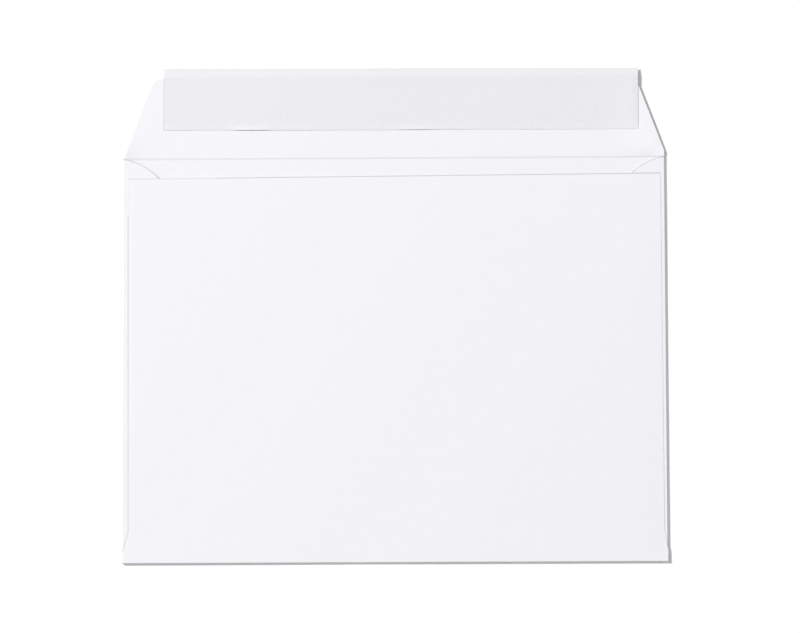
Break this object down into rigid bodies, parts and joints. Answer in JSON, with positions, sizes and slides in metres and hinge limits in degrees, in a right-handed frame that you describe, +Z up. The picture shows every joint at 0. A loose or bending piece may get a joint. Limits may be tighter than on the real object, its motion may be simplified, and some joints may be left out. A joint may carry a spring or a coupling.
{
  "type": "booklet envelope",
  "caption": "Flat white paper booklet envelope, open at the long side, with a slanted closure flap and a peel-off liner over its adhesive.",
  "frame": {"origin": "centre of the face panel's outer face, which lies on the surface, midway between the side folds and midway between the bottom fold and the flap's crease", "axes": "+X along the long side, to the right as the picture shows it; +Y from the bottom fold to the closure flap; +Z up, out of the back panel"},
  "size_m": [0.305, 0.2801, 0.0015],
  "materials": {
    "paper": "matte",
    "liner": "satin",
    "adhesive": "satin",
    "gum": "satin"
  },
  "bodies": {
    "root": {"envelope_sheet": "paper", "seam_gum_left": "gum", "seam_gum_right": "gum", "adhesive_band": "adhesive", "release_liner": "liner"}
  },
  "joints": []
}
